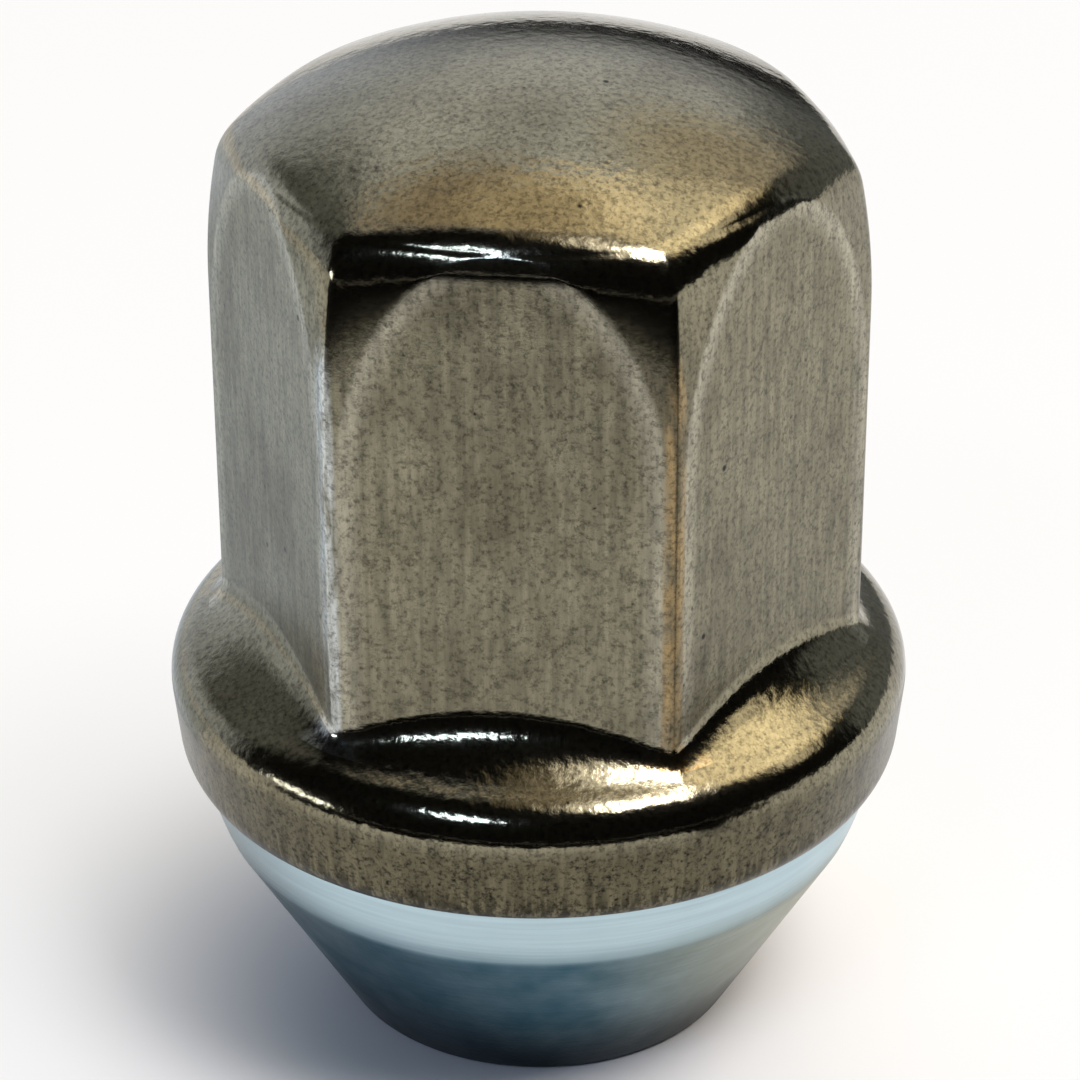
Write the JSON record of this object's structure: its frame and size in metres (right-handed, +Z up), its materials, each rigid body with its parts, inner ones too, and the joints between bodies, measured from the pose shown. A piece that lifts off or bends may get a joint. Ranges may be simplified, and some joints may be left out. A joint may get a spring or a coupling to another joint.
{
  "type": "lug nut",
  "caption": "Capped lug nut: domed stainless hexagon cap with a round flange, rolled over a plated steel nut with a conical seat and a threaded bore.",
  "frame": {"origin": "centre of the seat's flat small end, on the thread's axis", "axes": "+Z up the thread's axis from the seat to the dome, X through two opposite corners of the hexagon"},
  "size_m": [0.0276, 0.0276, 0.0381],
  "materials": {
    "drawn_stainless": "drawn stainless sheet, satin with fine upright streaks",
    "zinc_plated_steel": "bright zinc plate with a pale blue passivation"
  },
  "bodies": {
    "root": {"stainless_cap": "drawn_stainless", "nut_body": "zinc_plated_steel"}
  },
  "joints": []
}
